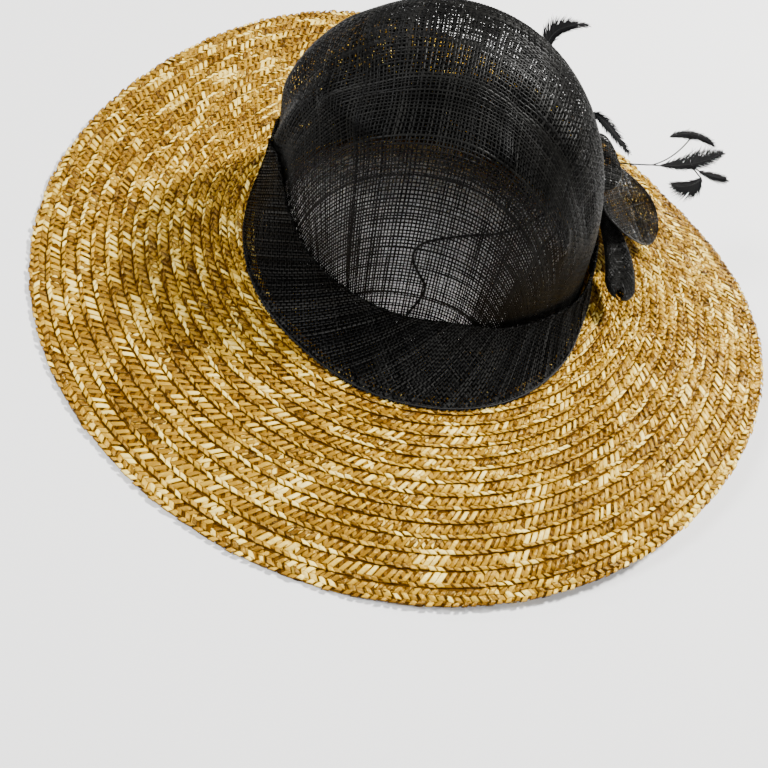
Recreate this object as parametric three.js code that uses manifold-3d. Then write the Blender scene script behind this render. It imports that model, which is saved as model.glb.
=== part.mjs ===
// Dress hat: a wide wavy brim of sewn straw plait, a soft dome crown of open-weave sinamay,
// a folded sinamay band round its foot, and a trim of petals, a loop and feathers behind it.
// Millimetres, +Z up, the origin on the table under the middle of the brim.
import * as THREE from 'three';
import * as BufferGeometryUtils from 'three/addons/utils/BufferGeometryUtils.js';
import Module from 'manifold-3d';

const wasm = await Module();
wasm.setup();

// Driving dimensions
const brimRadius = 220;
const brimThickness = 1.4;
const rowStep = 0.9;
const rowPitch = 8.06;
const rowEdge = 0.4;
const rowTaper = 0.0245;
const narrowestRow = 0.62;
const brimRise = 15.7;
const brimArch = 2.9;
const waveHeight = 10;
const restDepth = 1.5;
const headRadius = 89;
const lipWidth = 1;
const crownHeight = 158;
const crownWall = 1.2;
const crownSideCurve = 2.07;
const crownTopCurve = 2.49;
const crownLean = -17;
const footFlare = 2.5;
const footFlareHeight = 7;
const foldHeight = 3;
const bandWall = 2;
const bandHug = 0.6;
const petalThickness = 1;
const cordDiameter = 1.5;
const cordRest = 0.3;
const seatGap = 0.35;

// Facets
const roundSteps = 52;
const crownSteps = 44;
const crownRings = 13;
const knotSteps = 14;
const knotRings = 9;
const petalSteps = 18;
const petalRings = 4;
const tailRows = 11;
const tailSides = 12;
const featherRows = 9;
const cordSides = 8;

// Heights of the brim's waves, as shares of waveHeight, by how many times they go round
const brimWaves = [
  { lobes: 1, cosine: 0.12, sine: 0.70 },
  { lobes: 2, cosine: 0.22, sine: -0.82 },
  { lobes: 3, cosine: 0.66, sine: 0.01 },
  { lobes: 4, cosine: 0.04, sine: 0.17 },
];

// Ovals, as shares of the mean radius
const rimOval = { cosine: -0.003, sine: 0.016 };
const headOval = { cosine: 0.058, sine: 0.054 };

// Plan radius of the band's hem, as shares of headRadius
const bandHem = [
  { degrees: -165, share: 1.225 },
  { degrees: -150, share: 1.26 },
  { degrees: -130, share: 1.31 },
  { degrees: -110, share: 1.335 },
  { degrees: -90, share: 1.365 },
  { degrees: -70, share: 1.355 },
  { degrees: -50, share: 1.32 },
  { degrees: -30, share: 1.245 },
  { degrees: -12, share: 1.17 },
  { degrees: 5, share: 1.155 },
  { degrees: 22, share: 1.165 },
  { degrees: 45, share: 1.20 },
  { degrees: 80, share: 1.24 },
  { degrees: 120, share: 1.22 },
  { degrees: 160, share: 1.195 },
];

// Height of the band's folded top edge above the table, as shares of crownHeight
const bandTop = [
  { degrees: -148, share: 0.48 },
  { degrees: -138, share: 0.405 },
  { degrees: -126, share: 0.33 },
  { degrees: -107, share: 0.29 },
  { degrees: -89, share: 0.28 },
  { degrees: -70, share: 0.29 },
  { degrees: -50, share: 0.27 },
  { degrees: -28, share: 0.275 },
  { degrees: -8, share: 0.26 },
  { degrees: 15, share: 0.31 },
  { degrees: 40, share: 0.43 },
  { degrees: 67, share: 0.525 },
  { degrees: 100, share: 0.51 },
  { degrees: 130, share: 0.465 },
  { degrees: 158, share: 0.42 },
  { degrees: 185, share: 0.45 },
];

// Soft folds of the crown, each from one point to the next: degrees round and share of the way up
const crownFolds = [
  { fromDegrees: -140, fromUp: 0.46, toDegrees: -55, toUp: 0.53, width: 0.05, height: 0.9 },
  { fromDegrees: -150, fromUp: 0.57, toDegrees: -60, toUp: 0.66, width: 0.06, height: -0.8 },
  { fromDegrees: -57, fromUp: 0.52, toDegrees: -28, toUp: 0.26, width: 0.05, height: 1.0 },
  { fromDegrees: -42, fromUp: 0.66, toDegrees: -12, toUp: 0.30, width: 0.07, height: -0.7 },
  { fromDegrees: -172, fromUp: 0.32, toDegrees: 165, toUp: 0.42, width: 0.12, height: 1.8 },
  { fromDegrees: -158, fromUp: 0.20, toDegrees: -146, toUp: 0.46, width: 0.06, height: 0.8 },
  { fromDegrees: 70, fromUp: 0.45, toDegrees: 140, toUp: 0.52, width: 0.07, height: -0.8 },
];

// Materials
const straw = new THREE.MeshStandardMaterial({ color: 0xc99a52, roughness: 0.5, metalness: 0 });
const sinamay = new THREE.MeshStandardMaterial({ color: 0x141416, roughness: 0.6, metalness: 0 });
const plumage = new THREE.MeshStandardMaterial({ color: 0x1b1c20, roughness: 0.7, metalness: 0 });
const elastic = new THREE.MeshStandardMaterial({ color: 0x101012, roughness: 0.6, metalness: 0 });

const radians = (degrees) => (degrees * Math.PI) / 180;
const clamp = (value, low, high) => Math.min(high, Math.max(low, value));
const smooth = (value) => {
  const t = clamp(value, 0, 1);
  return t * t * (3 - 2 * t);
};
const mix = (a, b, t) => a + (b - a) * t;
const polar = (radius, angle, z) => new THREE.Vector3(radius * Math.cos(angle), radius * Math.sin(angle), z);

// How far an oval stands off its mean radius at an angle
function ovalOffset(oval, meanRadius, angle) {
  return meanRadius * (oval.cosine * Math.cos(2 * angle) + oval.sine * Math.sin(2 * angle));
}

// Brim
const brimWidth = brimRadius - headRadius;

// Plan radius of the ring that lies `inward` from the rim
function brimRing(angle, inward) {
  const toHead = smooth((inward / brimWidth - 0.6) / 0.4);
  const rim = ovalOffset(rimOval, brimRadius, angle);
  const head = ovalOffset(headOval, headRadius, angle);
  return brimRadius - inward + mix(rim, head, toHead);
}

// Underside height: waves that fade toward the head, flat where the brim touches the table
function brimUnderside(angle, inward) {
  const share = inward / brimWidth;
  const fade = Math.pow(clamp(1 - share, 0, 1), 1.2);
  let height = waveHeight + brimRise * share + brimArch * share * (1 - share) - restDepth;
  for (const wave of brimWaves) {
    const reach = wave.lobes === 1 ? 1 - share * (brimWidth / brimRadius) : fade;
    const swing = wave.cosine * Math.cos(wave.lobes * angle) + wave.sine * Math.sin(wave.lobes * angle);
    height += waveHeight * swing * reach;
  }
  return Math.max(0, height);
}

// Distances from the rim at which each row of plait starts
function rowStarts() {
  const starts = [0];
  const innermost = brimWidth + lipWidth;
  for (let row = 0; starts[row] < innermost; row += 1) {
    const width = rowPitch * Math.max(1 - rowTaper * row, narrowestRow);
    starts.push(Math.min(starts[row] + width, innermost));
  }
  return starts;
}

// Top of the brim at any place, above its highest row edges
function brimTop(angle, inward) {
  return brimUnderside(angle, inward) + brimThickness + rowStep;
}

// How far inward from the rim a plan radius lies
function inwardOf(angle, radius) {
  let inward = brimRadius - radius;
  for (let pass = 0; pass < 4; pass += 1) {
    inward += brimRing(angle, inward) - radius;
  }
  return inward;
}

// Closed ring solid: the same loop of [radius, height] points at every step round
function ringSolid(loopAt, steps) {
  const positions = [];
  const indices = [];
  const count = loopAt(0).length;
  for (let step = 0; step < steps; step += 1) {
    const angle = (2 * Math.PI * step) / steps;
    for (const [radius, z] of loopAt(angle)) {
      positions.push(radius * Math.cos(angle), radius * Math.sin(angle), z);
    }
  }
  for (let step = 0; step < steps; step += 1) {
    const next = (step + 1) % steps;
    for (let i = 0; i < count; i += 1) {
      const j = (i + 1) % count;
      const a = step * count + i;
      const b = step * count + j;
      const c = next * count + j;
      const d = next * count + i;
      indices.push(a, d, b, b, d, c);
    }
  }
  return meshGeometry(positions, indices);
}

function meshGeometry(positions, indices) {
  const geometry = new THREE.BufferGeometry();
  geometry.setAttribute('position', new THREE.Float32BufferAttribute(positions, 3));
  geometry.setIndex(indices);
  return geometry;
}

// Where the underside has its rings, as shares of the way from the rim to the head opening
const undersideRings = [1, 0.8, 0.55, 0.3, 0.035, 0.006];

function brimGeometry() {
  const starts = rowStarts();
  const last = starts[starts.length - 1];
  return ringSolid((angle) => {
    const loop = [];
    for (let row = 0; row < starts.length - 1; row += 1) {
      const edge = starts[row] + (row === 0 ? 0 : rowEdge);
      const low = starts[row + 1];
      const flat = row === starts.length - 2;
      loop.push([brimRing(angle, edge), brimUnderside(angle, edge) + brimThickness + rowStep]);
      loop.push([brimRing(angle, low), brimUnderside(angle, low) + brimThickness + (flat ? rowStep : 0)]);
    }
    for (const share of undersideRings) {
      const inward = last * share;
      loop.push([brimRing(angle, inward), brimUnderside(angle, inward)]);
    }
    return loop;
  }, roundSteps);
}

// Crown
const crownFoot = (angle) => brimTop(angle, brimWidth) + seatGap;

// Height of the folds above the plain dome
function foldOffset(angle, up) {
  let offset = 0;
  for (const fold of crownFolds) {
    const fromAngle = radians(fold.fromDegrees);
    let span = radians(fold.toDegrees) - fromAngle;
    span = Math.atan2(Math.sin(span), Math.cos(span));
    let turn = angle - fromAngle;
    turn = Math.atan2(Math.sin(turn), Math.cos(turn));
    const around = Math.cos((Math.PI / 2) * up);
    const spanAcross = span * around;
    const spanUp = fold.toUp - fold.fromUp;
    const along = clamp(
      (turn * around * spanAcross + (up - fold.fromUp) * spanUp) / (spanAcross ** 2 + spanUp ** 2),
      0,
      1,
    );
    const across = Math.hypot(turn * around - along * spanAcross, up - fold.fromUp - along * spanUp);
    offset += foldHeight * fold.height * Math.exp(-((across / fold.width) ** 2));
  }
  return offset;
}

// Point of the crown: up is 0 at the foot and 1 at the top, inset is measured into the wall
function crownPoint(angle, up, inset) {
  const arc = (up * Math.PI) / 2;
  const foot = crownFoot(angle);
  const rise = Math.pow(Math.sin(arc), 2 / crownTopCurve);
  const wide = Math.pow(Math.max(Math.cos(arc), 0), 2 / crownSideCurve);
  const topShare = smooth((up - 0.3) / 0.7);
  const fold = foldOffset(angle, up) * smooth(up / 0.12) * smooth((1 - up) / 0.15);
  const height = foot + (crownHeight - foot) * rise + (fold - inset) * topShare;
  const plain = headRadius + ovalOffset(headOval, headRadius, angle);
  const flare = footFlare * Math.exp(-(height - foot) / footFlareHeight);
  const radius = Math.max(0, (plain + flare + fold * (1 - topShare) - inset) * wide);
  const point = polar(radius, angle, height);
  point.x += crownLean * rise;
  return point;
}

// Thin dome: an outer and an inner skin joined at the foot
function crownGeometry() {
  const steps = crownSteps;
  const rings = crownRings;
  const positions = [];
  const indices = [];
  const ringUp = (ring) => Math.pow(ring / rings, 0.9);
  const addSkin = (inset, outward) => {
    const first = positions.length / 3;
    for (let ring = 0; ring < rings; ring += 1) {
      for (let step = 0; step < steps; step += 1) {
        positions.push(...crownPoint((2 * Math.PI * step) / steps, ringUp(ring), inset).toArray());
      }
    }
    positions.push(...crownPoint(0, 1, inset).toArray());
    const top = positions.length / 3 - 1;
    for (let ring = 0; ring < rings; ring += 1) {
      for (let step = 0; step < steps; step += 1) {
        const next = (step + 1) % steps;
        const a = first + ring * steps + step;
        const b = first + ring * steps + next;
        const c = ring === rings - 1 ? top : b + steps;
        const d = a + steps;
        addTriangle(indices, a, b, c, outward);
        if (ring < rings - 1) {
          addTriangle(indices, a, c, d, outward);
        }
      }
    }
    return first;
  };
  const outer = addSkin(0, true);
  const inner = addSkin(crownWall, false);
  for (let step = 0; step < steps; step += 1) {
    const next = (step + 1) % steps;
    indices.push(outer + step, inner + step, inner + next);
    indices.push(outer + step, inner + next, outer + next);
  }
  return meshGeometry(positions, indices);
}

function addTriangle(indices, a, b, c, outward) {
  if (outward) {
    indices.push(a, b, c);
  } else {
    indices.push(a, c, b);
  }
}

// Band
// Share read from a table of degrees and shares that goes once round, smoothly between its rows
function shareRound(table, angle) {
  const lap = 360;
  const start = table[0].degrees;
  const turn = ((((angle * 180) / Math.PI - start) % lap) + lap) % lap;
  const count = table.length;
  const row = (i) => {
    const laps = Math.floor(i / count);
    const entry = table[i - laps * count];
    return { at: entry.degrees - start + laps * lap, share: entry.share };
  };
  let index = 0;
  while (row(index + 1).at <= turn) index += 1;
  const [before, from, to, after] = [row(index - 1), row(index), row(index + 1), row(index + 2)];
  const span = to.at - from.at;
  const t = (turn - from.at) / span;
  const slopeFrom = ((to.share - before.share) / (to.at - before.at)) * span;
  const slopeTo = ((after.share - from.share) / (after.at - from.at)) * span;
  const t2 = t * t;
  const t3 = t2 * t;
  return (2 * t3 - 3 * t2 + 1) * from.share + (t3 - 2 * t2 + t) * slopeFrom
    + (3 * t2 - 2 * t3) * to.share + (t3 - t2) * slopeTo;
}

const bandTopHeight = (angle) => shareRound(bandTop, angle) * crownHeight;

// Plan radius of the crown's outer face at an angle and a height
function crownRadiusAt(angle, height) {
  let low = 0;
  let high = 1;
  for (let pass = 0; pass < 22; pass += 1) {
    const middle = (low + high) / 2;
    if (crownPoint(angle, middle, 0).z < height) low = middle;
    else high = middle;
  }
  const point = crownPoint(angle, low, 0);
  return point.x * Math.cos(angle) + point.y * Math.sin(angle);
}

// Outer face of the band: share is 0 at the hem and 1 at the fold
function bandPoint(angle, share) {
  const hemRadius = shareRound(bandHem, angle) * headRadius;
  const hemHeight = brimTop(angle, inwardOf(angle, hemRadius - bandWall)) + seatGap;
  const topHeight = bandTopHeight(angle);
  const foldRadius = Math.max(crownRadiusAt(angle, topHeight), crownRadiusAt(angle, topHeight * 0.8));
  const topRadius = foldRadius + bandHug + bandWall;
  const radius = topRadius + (hemRadius - topRadius) * Math.pow(1 - share, 1.3);
  return { radius, height: mix(hemHeight, topHeight, share) };
}

// Where the band has its rings, as shares of the way from the hem to the fold
const bandRings = [0, 0.12, 0.3, 0.5, 0.75, 1];

function bandGeometry() {
  return ringSolid((angle) => {
    const faces = bandRings.map((share) => bandPoint(angle, share));
    const outer = faces.map((face) => [face.radius, face.height]);
    const inner = faces.slice(0, -1).map((face) => [face.radius - bandWall, face.height]);
    const top = faces[faces.length - 1];
    const fold = [
      [top.radius - bandWall * 0.3, top.height + bandWall * 0.4],
      [top.radius - bandWall * 0.8, top.height + bandWall * 0.1],
    ];
    return [...outer, ...fold, ...inner.reverse()];
  }, roundSteps);
}

// Plan radius that clears the band and the crown at an angle and a height
function clearRadius(angle, height) {
  const share = (height - bandPoint(angle, 0).height) / (bandTopHeight(angle) - bandPoint(angle, 0).height);
  const crown = crownRadiusAt(angle, Math.min(height, crownHeight - 1));
  if (share > 1.08) {
    return crown + seatGap;
  }
  return Math.max(crown, bandPoint(angle, clamp(share, 0, 1)).radius) + seatGap;
}

// The same point, moved outward until a piece of this half thickness clears the hat's wall
function pushedClear(point, halfThickness) {
  const angle = Math.atan2(point.y, point.x);
  const radius = Math.max(Math.hypot(point.x, point.y), clearRadius(angle, point.z) + halfThickness);
  return polar(radius, angle, point.z);
}

// Solids through manifold
function toManifold(geometry) {
  const plain = geometry.clone();
  plain.deleteAttribute('normal');
  plain.deleteAttribute('uv');
  const merged = BufferGeometryUtils.mergeVertices(plain, 1e-4);
  return new wasm.Manifold(new wasm.Mesh({
    numProp: 3,
    vertProperties: new Float32Array(merged.attributes.position.array),
    triVerts: new Uint32Array(merged.index.array),
  }));
}

function fromManifold(solid) {
  const mesh = solid.getMesh();
  return meshGeometry(Array.from(mesh.vertProperties), Array.from(mesh.triVerts));
}

// Closed loft through equal loops of points, with a fan over each end
function loftSolid(loops) {
  const positions = [];
  const indices = [];
  const count = loops[0].length;
  for (const loop of loops) {
    for (const point of loop) positions.push(...point.toArray());
  }
  for (let row = 0; row < loops.length - 1; row += 1) {
    for (let i = 0; i < count; i += 1) {
      const j = (i + 1) % count;
      const a = row * count + i;
      const b = row * count + j;
      indices.push(a, b, b + count, a, b + count, a + count);
    }
  }
  const centre = (loop) => loop.reduce((sum, p) => sum.add(p), new THREE.Vector3()).divideScalar(count);
  const start = positions.length / 3;
  positions.push(...centre(loops[0]).toArray(), ...centre(loops[loops.length - 1]).toArray());
  const lastRow = (loops.length - 1) * count;
  for (let i = 0; i < count; i += 1) {
    const j = (i + 1) % count;
    indices.push(start, j, i);
    indices.push(start + 1, lastRow + i, lastRow + j);
  }
  return meshGeometry(positions, indices);
}

// Trim
const knotAngle = radians(38);
const knotHeight = 0.395 * crownHeight;
const knotSize = new THREE.Vector3(6, 9, 8);
const knotStand = 0.6;
const knotCentre = polar(clearRadius(knotAngle, knotHeight) + knotSize.x + knotStand, knotAngle, knotHeight);

// Place given from the knot's centre in shares of headRadius
const fromKnot = (place) => new THREE.Vector3(...place).multiplyScalar(headRadius).add(knotCentre);

// Knot: an egg with shallow windings, grown by a margin where neighbours are cut clear of it
function knotGeometry(margin) {
  const steps = knotSteps;
  const rings = knotRings;
  const loops = [];
  for (let ring = 0; ring <= rings; ring += 1) {
    const polarAngle = Math.PI * mix(0.06, 0.94, ring / rings);
    const loop = [];
    for (let step = 0; step < steps; step += 1) {
      const turn = (2 * Math.PI * step) / steps;
      const winding = 1 + 0.05 * Math.cos(3 * turn + 2.5 * polarAngle);
      const local = new THREE.Vector3(
        (knotSize.x + margin) * Math.sin(polarAngle) * Math.cos(turn) * winding,
        (knotSize.y + margin) * Math.sin(polarAngle) * Math.sin(turn) * winding,
        -(knotSize.z + margin) * Math.cos(polarAngle),
      );
      loop.push(local.applyAxisAngle(new THREE.Vector3(0, 0, 1), knotAngle).add(knotCentre));
    }
    loops.push(loop);
  }
  return loftSolid(loops);
}

function clearOfKnot(geometry) {
  return fromManifold(toManifold(geometry).subtract(toManifold(knotGeometry(seatGap))));
}

// Petals: centre of each round leaf from the knot's centre, and its two half axes, in shares of headRadius
const petals = {
  petal_large: {
    centre: [0.297, -0.024, -0.096],
    long: [0.271, 0.253, -0.185],
    across: [-0.139, 0.262, 0.089],
    cup: 0.01,
    ruffle: 0.015,
  },
  petal_upper: {
    centre: [-0.044, -0.058, 0.203],
    long: [-0.089, 0.19, 0.049],
    across: [0.116, 0.042, 0.015],
    cup: -0.03,
    ruffle: 0.012,
  },
};

const axisOf = (place) => new THREE.Vector3(...place).multiplyScalar(headRadius);

function petalSurface(petal, reach, turn, lift) {
  const centre = fromKnot(petal.centre);
  const long = axisOf(petal.long);
  const across = axisOf(petal.across);
  const normal = new THREE.Vector3().crossVectors(long, across).normalize();
  if (normal.z < 0) normal.negate();
  const bowl = petal.cup * reach * reach + petal.ruffle * reach ** 3 * Math.sin(3 * turn + 1);
  const point = centre.addScaledVector(long, reach * Math.cos(turn));
  point.addScaledVector(across, reach * Math.sin(turn));
  point.addScaledVector(normal, bowl * headRadius + lift);
  return pushedClear(point, petalThickness);
}

// Round leaf with a top and an underside
function petalGeometry(petal) {
  const steps = petalSteps;
  const rings = petalRings;
  const positions = [];
  const indices = [];
  const flip = new THREE.Vector3().crossVectors(axisOf(petal.long), axisOf(petal.across)).z < 0;
  const addSide = (lift, outward) => {
    const centre = positions.length / 3;
    positions.push(...petalSurface(petal, 0, 0, lift).toArray());
    for (let ring = 1; ring <= rings; ring += 1) {
      for (let step = 0; step < steps; step += 1) {
        const turn = (2 * Math.PI * step) / steps;
        positions.push(...petalSurface(petal, ring / rings, turn, lift).toArray());
      }
    }
    for (let step = 0; step < steps; step += 1) {
      const next = (step + 1) % steps;
      addTriangle(indices, centre, centre + 1 + step, centre + 1 + next, outward);
      for (let ring = 0; ring < rings - 1; ring += 1) {
        const a = centre + 1 + ring * steps + step;
        const b = centre + 1 + ring * steps + next;
        addTriangle(indices, a, a + steps, b + steps, outward);
        addTriangle(indices, a, b + steps, b, outward);
      }
    }
    return centre + 1 + (rings - 1) * steps;
  };
  const top = addSide(petalThickness / 2, !flip);
  const under = addSide(-petalThickness / 2, flip);
  for (let step = 0; step < steps; step += 1) {
    const next = (step + 1) % steps;
    addTriangle(indices, top + step, under + step, under + next, !flip);
    addTriangle(indices, top + step, under + next, top + next, !flip);
  }
  return clearOfKnot(meshGeometry(positions, indices));
}

// Tail: a flattened loop with a groove along its top and a two-lobed end
const tail = {
  fromDegrees: 34,
  toDegrees: -3.5,
  fromHeight: 0.345,
  toHeight: 0.267,
  halfWidth: 9.4,
  halfDepth: 4,
  stand: 7,
};

function tailGeometry() {
  const rows = tailRows;
  const sides = tailSides;
  const loops = [];
  for (let row = 0; row <= rows; row += 1) {
    const share = row / rows;
    const angle = radians(mix(tail.fromDegrees, tail.toDegrees, share));
    const height = mix(tail.fromHeight, tail.toHeight, share) * crownHeight;
    const end = Math.sqrt(Math.max(0.06, 1 - clamp((share - 0.8) / 0.2, 0, 1) ** 2));
    const start = mix(0.5, 1, smooth(share / 0.8));
    const halfWidth = tail.halfWidth * end * start;
    const halfDepth = tail.halfDepth * end * start;
    const wall = Math.max(clearRadius(angle, height), clearRadius(angle, height - tail.halfDepth));
    const centre = wall + tail.halfWidth * start + seatGap + tail.stand * share * share;
    const loop = [];
    for (let side = 0; side < sides; side += 1) {
      const turn = (2 * Math.PI * side) / sides;
      const groove = 1 - 0.35 * smooth(share / 0.5) * Math.max(0, Math.sin(turn)) ** 6;
      loop.push(polar(
        centre + halfWidth * Math.cos(turn),
        angle,
        height + halfDepth * Math.sin(turn) * groove,
      ));
    }
    loops.push(loop);
  }
  return clearOfKnot(loftSolid(loops));
}

// Feathers: bent quills, bare or with a vane. Places are [x, y, z] from the knot's centre, as shares
// of headRadius.
const quillRadius = 0.6;
const sprayHeadRadius = 3;
const sprayPlaces = {
  head: [-0.067, 0.083, 0.07],
  fork: [0.294, 0.101, 0.199],
  crescentStart: [0.361, 0.392, 0.265],
  spine: [0.561, 0.289, 0.199],
  leafBase: [0.672, 0.259, 0.152],
};

// vaneFrom is where the vane starts along the quill, left and right are shares for its half widths
const feathers = [
  {
    from: 'head', bend: [-1.026, 0.407, 0.547], tip: [-0.458, 0.79, 0.557],
    vaneFrom: 0.5, left: 0.044, right: 0.03,
  },
  {
    from: 'head', bend: [-0.482, 0.259, 0.51], tip: [0.086, -0.023, 0.288],
    vaneFrom: 0.5, left: 0.03, right: 0.03,
  },
  {
    from: 'head', bend: [0.173, 0.046, 0.179], tip: [0.294, 0.101, 0.199],
    vaneFrom: 1, left: 0, right: 0,
  },
  {
    from: 'fork', bend: [0.581, 0.234, 0.199], tip: [0.793, 0.588, 0.199],
    vaneFrom: 0.1, left: 0.074, right: 0.03,
  },
  {
    from: 'fork', bend: [0.432, 0.209, 0.238], tip: [0.514, 0.494, 0.28],
    vaneFrom: 1, left: 0, right: 0,
  },
  {
    from: 'crescentStart', bend: [0.499, 0.543, 0.3], tip: [0.682, 0.558, 0.253],
    vaneFrom: 0, left: 0.015, right: 0.049,
  },
  {
    from: 'spine', bend: [0.679, 0.261, 0.164], tip: [0.855, 0.37, 0.152],
    vaneFrom: 0.3, left: 0.025, right: 0.025,
  },
  {
    from: 'spine', bend: [0.605, 0.247, 0.189], tip: [0.672, 0.259, 0.152],
    vaneFrom: 1, left: 0, right: 0,
  },
  {
    from: 'leafBase', bend: [0.642, 0.148, 0.122], tip: [0.487, 0.088, 0.119],
    vaneFrom: 0, left: 0.054, right: 0.035,
  },
];

function featherSolid(feather) {
  const start = fromKnot(sprayPlaces[feather.from]);
  const curve = new THREE.QuadraticBezierCurve3(start, fromKnot(feather.bend), fromKnot(feather.tip));
  const rows = featherRows;
  const loops = [];
  for (let row = 0; row <= rows; row += 1) {
    const share = row / rows;
    const point = curve.getPoint(share);
    const along = curve.getTangent(share);
    const side = new THREE.Vector3().crossVectors(new THREE.Vector3(0, 0, 1), along).normalize();
    const normal = new THREE.Vector3().crossVectors(along, side).normalize();
    const vane = clamp((share - feather.vaneFrom) / Math.max(1 - feather.vaneFrom, 0.01), 0, 1);
    const spread = Math.sin(Math.PI * Math.pow(vane, 0.8)) * headRadius;
    const left = quillRadius + feather.left * spread;
    const right = quillRadius + feather.right * spread;
    loops.push([
      point.clone().addScaledVector(side, left),
      point.clone().addScaledVector(normal, quillRadius),
      point.clone().addScaledVector(side, -right),
      point.clone().addScaledVector(normal, -quillRadius),
    ]);
  }
  return toManifold(loftSolid(loops));
}

function featherSprayGeometry() {
  const head = new THREE.SphereGeometry(sprayHeadRadius, 10, 7);
  head.translate(...fromKnot(sprayPlaces.head).toArray());
  let spray = toManifold(head);
  for (const feather of feathers) {
    spray = spray.add(featherSolid(feather));
  }
  return fromManifold(spray.subtract(toManifold(knotGeometry(seatGap))));
}

// Cord across the head opening: places along its route as shares of headRadius, lift is above the table
const cordRoute = [
  { x: 0.056, y: -0.906, lift: 0.244 },
  { x: 0.052, y: -0.787, lift: 0.134 },
  { x: 0.052, y: -0.64, lift: 0.029 },
  { x: 0.061, y: -0.472, lift: 0 },
  { x: 0.097, y: -0.315, lift: 0 },
  { x: 0.097, y: -0.191, lift: 0 },
  { x: 0.022, y: -0.096, lift: 0 },
  { x: -0.049, y: 0, lift: 0 },
  { x: -0.063, y: 0.107, lift: 0 },
  { x: -0.018, y: 0.213, lift: 0 },
  { x: 0.079, y: 0.315, lift: 0 },
  { x: 0.27, y: 0.472, lift: 0 },
  { x: 0.472, y: 0.584, lift: 0.033 },
  { x: 0.618, y: 0.652, lift: 0.146 },
  { x: 0.718, y: 0.71, lift: 0.298 },
];

function cordGeometry() {
  const lowest = cordDiameter / 2 + cordRest;
  const places = cordRoute.map((place) => new THREE.Vector3(
    place.x * headRadius,
    place.y * headRadius,
    lowest + place.lift * headRadius,
  ));
  const curve = new THREE.CatmullRomCurve3(places);
  const section = new THREE.Shape();
  for (let side = 0; side < cordSides; side += 1) {
    const turn = (2 * Math.PI * (side + 0.5)) / cordSides;
    const x = (cordDiameter / 2) * Math.cos(turn);
    const y = (cordDiameter / 2) * Math.sin(turn);
    if (side === 0) section.moveTo(x, y);
    else section.lineTo(x, y);
  }
  section.closePath();
  const steps = Math.round(curve.getLength() / (3 * cordDiameter));
  return new THREE.ExtrudeGeometry(section, { steps, extrudePath: curve, bevelEnabled: false });
}

const group = new THREE.Group();

function addPiece(name, geometry, material) {
  const mesh = new THREE.Mesh(geometry, material);
  mesh.name = name;
  group.add(mesh);
}

addPiece('straw_brim', brimGeometry(), straw);
addPiece('sinamay_crown', crownGeometry(), sinamay);
addPiece('sinamay_band', bandGeometry(), sinamay);
addPiece('trim_knot', knotGeometry(0), sinamay);
for (const name of Object.keys(petals)) {
  addPiece(name, petalGeometry(petals[name]), sinamay);
}
addPiece('tail_loop', tailGeometry(), sinamay);
addPiece('feather_spray', featherSprayGeometry(), plumage);
addPiece('inner_cord', cordGeometry(), elastic);

export default group;
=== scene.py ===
"""Dress hat: straw plait brim, woven sinamay crown and band, petal and feather trim."""
import math
from collections import namedtuple

import bpy
import numpy as np
from mathutils import Matrix


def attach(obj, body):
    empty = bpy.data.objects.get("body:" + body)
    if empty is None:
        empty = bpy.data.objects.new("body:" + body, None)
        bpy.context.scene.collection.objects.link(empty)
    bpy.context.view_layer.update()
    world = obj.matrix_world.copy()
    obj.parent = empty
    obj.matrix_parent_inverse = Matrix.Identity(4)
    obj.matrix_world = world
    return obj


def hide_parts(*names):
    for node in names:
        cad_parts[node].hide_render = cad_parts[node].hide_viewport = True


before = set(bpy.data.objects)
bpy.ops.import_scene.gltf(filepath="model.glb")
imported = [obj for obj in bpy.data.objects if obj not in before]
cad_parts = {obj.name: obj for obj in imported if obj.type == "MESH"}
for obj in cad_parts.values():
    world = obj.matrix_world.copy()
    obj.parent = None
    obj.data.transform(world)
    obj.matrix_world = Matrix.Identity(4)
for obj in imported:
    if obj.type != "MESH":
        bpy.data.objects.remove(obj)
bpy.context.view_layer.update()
MM = 0.001

# Sizes in millimetres and a few shares, as in the solids, but for FOLD_HEIGHT, which is 3.0 there
BRIM_RADIUS = 220.0
HEAD_RADIUS = 89.0
BRIM_WIDTH = BRIM_RADIUS - HEAD_RADIUS
BRIM_THICKNESS = 1.4
BRIM_RISE = 15.7
BRIM_ARCH = 2.9
WAVE_HEIGHT = 10.0
REST_DEPTH = 1.5
LIP_WIDTH = 1.0
ROW_STEP = 0.9
ROW_PITCH = 8.06
ROW_TAPER = 0.0245
NARROWEST_ROW = 0.62
CROWN_HEIGHT = 158.0
CROWN_WALL = 1.2
CROWN_LEAN = -17.0
SIDE_CURVE = 2.07
TOP_CURVE = 2.49
FOOT_FLARE = 2.5
FOOT_FLARE_HEIGHT = 7.0
FOLD_HEIGHT = 4.2
BAND_WALL = 2.0
BAND_HUG = 0.6
SEAT_GAP = 0.35
CORD_DIAMETER = 1.5
CORD_REST = 0.3
# Cosine and sine of twice the angle, as shares of the mean radius
RIM_OVAL = (-0.003, 0.016)
HEAD_OVAL = (0.058, 0.054)
# lobes, cosine, sine
BRIM_WAVES = ((1, 0.12, 0.70), (2, 0.22, -0.82), (3, 0.66, 0.01), (4, 0.04, 0.17))
# degrees, share of HEAD_RADIUS
BAND_HEM = (
    (-165, 1.225), (-150, 1.26), (-130, 1.31), (-110, 1.335), (-90, 1.365), (-70, 1.355), (-50, 1.32),
    (-30, 1.245), (-12, 1.17), (5, 1.155), (22, 1.165), (45, 1.20), (80, 1.24), (120, 1.22), (160, 1.195),
)
# degrees, share of CROWN_HEIGHT
BAND_TOP = (
    (-148, 0.48), (-138, 0.405), (-126, 0.33), (-107, 0.29), (-89, 0.28), (-70, 0.29), (-50, 0.27),
    (-28, 0.275), (-8, 0.26), (15, 0.31), (40, 0.43), (67, 0.525), (100, 0.51), (130, 0.465),
    (158, 0.42), (185, 0.45),
)
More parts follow.
